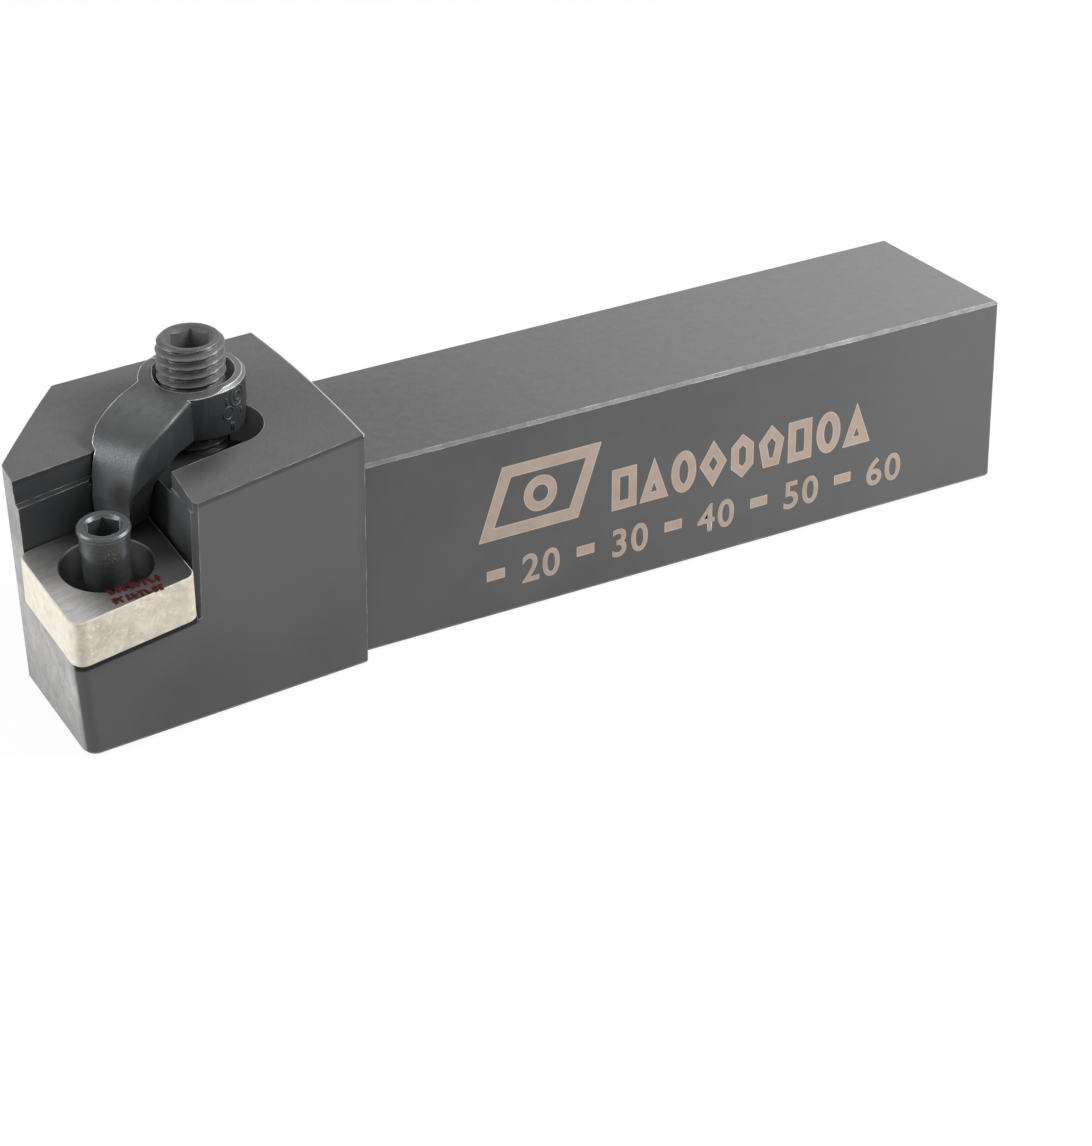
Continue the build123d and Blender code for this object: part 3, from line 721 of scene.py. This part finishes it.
def etched_marks():
    """Insert outlines above, and a plain scale of millimetres from the shoulder below."""
    fill = bmesh.new()
    rim = bmesh.new()
    for outer, inner in shape_chart():
        band(fill, outer, inner, on_shank(MARK_LIFT))
        band(rim, outset(outer, SHAPE_RIM), outer, on_shank(MARK_LIFT))
        band(rim, inner, outset(inner, -SHAPE_RIM), on_shank(MARK_LIFT))
    for x in SCALE_DASHES:
        left = x - DASH_HALF_WIDTH
        right = x + DASH_HALF_WIDTH
        dash = [(left, DASH_BOTTOM), (right, DASH_BOTTOM), (right, DASH_TOP), (left, DASH_TOP)]
        plate(fill, dash, on_shank(MARK_LIFT))
        band(rim, outset(dash, SHAPE_RIM), dash, on_shank(MARK_LIFT))
    beige = etched_mark("etched_fill", 0.25)
    pale = etched_mark("etched_rim", 0.32)
    add_piece("etched_shapes", finish_mesh(fill, "etched_shapes"), beige, "holder")
    add_piece("etched_shape_rims", finish_mesh(rim, "etched_shape_rims"), pale, "holder")
    layers = (("rim", FIGURE_RIM, MARK_LIFT, pale), ("fill", 0.0, 2 * MARK_LIFT, beige))
    for value in SCALE_FIGURES:
        for layer, swell, lift, material in layers:
            name = f"scale_{layer}_{value}"
            mesh = number_mesh(name, value, swell, lift)
            add_piece(name, mesh, material, "holder")


def number_mesh(name, value, swell, lift):
    """Flat digits on the shank's near face, centred value millimetres from the shoulder."""
    curve = bpy.data.curves.new(name, "FONT")
    curve.body = str(value)
    curve.size = FIGURE_SIZE * MM
    curve.space_character = FIGURE_SPACING
    curve.offset = swell * MM
    curve.align_x = "CENTER"
    curve.resolution_u = 6
    letter = bpy.data.objects.new(name, curve)
    bpy.context.scene.collection.objects.link(letter)
    depsgraph = bpy.context.evaluated_depsgraph_get()
    mesh = bpy.data.meshes.new_from_object(letter.evaluated_get(depsgraph))
    bpy.data.objects.remove(letter)
    bpy.data.curves.remove(curve)
    stand = Matrix.Rotation(math.radians(90), 4, "X")
    place = Vector((value, SHANK_NEAR_Y - lift, FIGURE_BOTTOM)) * MM
    mesh.transform(Matrix.Translation(place) @ stand)
    return mesh


def seat_place(lift):
    """Places a point on the shim's top: u along its near edge, v towards the back."""
    edge = seat_edge()
    across = SEAT_NORMAL.cross(edge)
    return lambda u, v: SEAT_NOSE + edge * u + across * v + SEAT_NORMAL * lift


def ink_strokes():
    """Two rows of short plain strokes in red ink on the shim's top."""
    mesh = bmesh.new()
    place = seat_place(MARK_LIFT)
    place_above = seat_place(1.5 * MARK_LIFT)
    for row, (start_u, start_v, drift) in enumerate(INK_ROWS):
        for i in range(STROKES_IN_A_ROW):
            u = start_u + STROKE_STEP * i
            v = start_v + drift * i
            lean = STROKE_LEAN_RIGHT if (i + row) % 2 else STROKE_LEAN_LEFT
            right = u + (STROKE_WIDTH if i % 3 else WIDE_STROKE)
            top = v + STROKE_HEIGHT
            plate(mesh, [(u, v), (right, v), (right + lean, top), (u + lean, top)], place)
            end = u + CROSS_STROKE_LENGTH
            low = v + CROSS_STROKE_START + CROSS_STROKE_STEP * ((i + row) % 3)
            high = low + CROSS_STROKE_HEIGHT
            plate(mesh, [(u, low), (end, low), (end, high), (u, high)], place_above)
    add_piece("ink_strokes", finish_mesh(mesh, "ink_strokes"), red_ink(), "holder")


def on_boss(turn, height, lift):
    """Point on the boss's side at an angle and a height, standing out by lift."""
    x_axis = (Vector((1, 0, 0)) - SCREW_AXIS * SCREW_AXIS.x).normalized()
    y_axis = SCREW_AXIS.cross(x_axis)
    out = x_axis * math.cos(turn) + y_axis * math.sin(turn)
    return SCREW_FOOT + out * (BOSS_RADIUS + lift) + SCREW_AXIS * height


def raised_line(mesh, points, width, lift, closed=False):
    """Rounded ridge along points on the boss's side: distance round it, and height."""
    count = len(points)
    loops = []
    for i, (u, h) in enumerate(points):
        before = points[i - 1] if (i > 0 or closed) else points[i]
        after = points[(i + 1) % count] if (i < count - 1 or closed) else points[i]
        along = Vector((after[0] - before[0], after[1] - before[1])).normalized()
        side = Vector((-along.y, along.x))
        loop = []
        for k in range(RIDGE_SECTION):
            angle = math.tau * k / RIDGE_SECTION
            shift = side * (width / 2 * math.cos(angle))
            out = lift * math.sin(angle)
            place = on_boss((u + shift.x) / BOSS_RADIUS, h + shift.y, out)
            loop.append(mesh.verts.new(place * MM))
        loops.append(loop)
    pairs = list(zip(loops, loops[1:]))
    if closed:
        pairs.append((loops[-1], loops[0]))
    for first, second in pairs:
        for k in range(RIDGE_SECTION):
            m = (k + 1) % RIDGE_SECTION
            mesh.faces.new((first[k], first[m], second[m], second[k]))
    if not closed:
        mesh.faces.new(loops[0])
        mesh.faces.new(list(reversed(loops[-1])))


def cast_marks():
    """Plain rings and short ridges cast on the boss's near side."""
    mesh = bmesh.new()
    for turn, height, radius in CAST_RINGS:
        middle = (math.radians(turn) * BOSS_RADIUS, height)
        raised_line(mesh, polygon(middle, radius, RING_SIDES), CAST_WIDTH, CAST_LIFT, closed=True)
    for turn, low, high in CAST_RIDGES:
        u = math.radians(turn) * BOSS_RADIUS
        points = [(u, low), (u + RIDGE_BEND, (low + high) / 2), (u, high)]
        raised_line(mesh, points, CAST_WIDTH, CAST_LIFT)
    data = finish_mesh(mesh, "cast_marks")
    data.shade_smooth()
    add_piece("cast_marks", data, clamp_steel("clamp_black_cast", False), "clamp")


# ------------------------------------------------------------------ scene
def add_camera():
    back = Vector((
        math.sin(CAMERA_AZIMUTH) * math.cos(CAMERA_ELEVATION),
        -math.cos(CAMERA_AZIMUTH) * math.cos(CAMERA_ELEVATION),
        math.sin(CAMERA_ELEVATION),
    ))
    right = Vector((math.cos(CAMERA_AZIMUTH), math.sin(CAMERA_AZIMUTH), 0))
    up = back.cross(right)
    x_axis = right * math.cos(CAMERA_ROLL) + up * math.sin(CAMERA_ROLL)
    y_axis = up * math.cos(CAMERA_ROLL) - right * math.sin(CAMERA_ROLL)
    data = bpy.data.cameras.new("camera")
    data.sensor_width = SENSOR_MM
    data.lens = LENS_MM
    data.clip_start = 0.01
    camera = bpy.data.objects.new("camera", data)
    rotation = Matrix((x_axis, y_axis, back)).transposed().to_4x4()
    camera.matrix_world = Matrix.Translation(CAMERA_PLACE) @ rotation
    bpy.context.scene.collection.objects.link(camera)
    bpy.context.scene.camera = camera


def add_area_lamp(name, place, target, side, power):
    data = bpy.data.lights.new(name, "AREA")
    data.shape = "RECTANGLE"
    data.size = side
    data.size_y = side
    data.energy = power
    lamp = bpy.data.objects.new(name, data)
    lamp.location = place
    direction = Vector(target) - Vector(place)
    lamp.rotation_euler = direction.to_track_quat("-Z", "Y").to_euler()
    bpy.context.scene.collection.objects.link(lamp)


def seen_directly(tree):
    """1 for camera, glossy and transmitted rays, which see the white background."""
    path = tree.nodes.new("ShaderNodeLightPath")
    result = path.outputs["Is Camera Ray"]
    for other in ("Is Glossy Ray", "Is Transmission Ray"):
        either = tree.nodes.new("ShaderNodeMath")
        either.operation = "MAXIMUM"
        tree.links.new(result, either.inputs[0])
        tree.links.new(path.outputs[other], either.inputs[1])
        result = either.outputs[0]
    return result


def add_world():
    world = bpy.data.worlds.new("studio")
    bpy.context.scene.world = world
    world.use_nodes = True
    tree = world.node_tree
    tree.nodes.clear()
    output = tree.nodes.new("ShaderNodeOutputWorld")
    mix = tree.nodes.new("ShaderNodeMixShader")
    light = tree.nodes.new("ShaderNodeBackground")
    seen = tree.nodes.new("ShaderNodeBackground")
    light.inputs["Strength"].default_value = WORLD_LIGHT
    for background in (light, seen):
        background.inputs["Color"].default_value = (1, 1, 1, 1)
    tree.links.new(seen_directly(tree), mix.inputs[0])
    tree.links.new(light.outputs[0], mix.inputs[1])
    tree.links.new(seen.outputs[0], mix.inputs[2])
    tree.links.new(mix.outputs[0], output.inputs["Surface"])


def add_floor():
    """Pale floor that looks white and keeps a faint shadow of the object."""
    mesh = bpy.data.meshes.new("floor")
    half = FLOOR_HALF
    corners = [(-half, -half, 0), (half, -half, 0), (half, half, 0), (-half, half, 0)]
    mesh.from_pydata(corners, [], [(0, 1, 2, 3)])
    floor = bpy.data.objects.new("floor", mesh)
    floor.location.z = CAD_BOX[0][2] - FLOOR_GAP
    bpy.context.scene.collection.objects.link(floor)
    n = Nodes("floor_white")
    grain = n.noise(n.place(), 0.05, 2)
    n.finish(n.mix(grain, grey(0.86), grey(0.9)), 0.9)
    glow = n.new("ShaderNodeEmission")
    share = n.new("ShaderNodeMixShader")
    output = n.tree.nodes["Material Output"]
    n.link(n.maths("MULTIPLY", seen_directly(n.tree), FLOOR_WHITE_SHARE), share.inputs[0])
    n.link(n.shader.outputs[0], share.inputs[1])
    n.link(glow.outputs[0], share.inputs[2])
    n.link(share.outputs[0], output.inputs["Surface"])
    floor.data.materials.append(n.material)


FINISHES = {
    "holder_body": holder_steel(),
    "shim": shim_carbide(),
    "lock_pin": pin_steel(),
    "clamp": clamp_steel("clamp_black_satin", True),
}
for node_name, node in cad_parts.items():
    if node_name in FINISHES:
        node.data.materials.clear()
        node.data.materials.append(FINISHES[node_name])

screw = add_piece("clamp_screw_threaded", threaded_screw(), screw_steel(), "clamp_screw")
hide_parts("clamp_screw")
etched_marks()
ink_strokes()
cast_marks()

add_camera()
add_world()
add_floor()
add_area_lamp("rear_right", **REAR_RIGHT_LAMP)
add_area_lamp("front_left", **FRONT_LEFT_LAMP)

bpy.context.scene.view_settings.view_transform = "Standard"
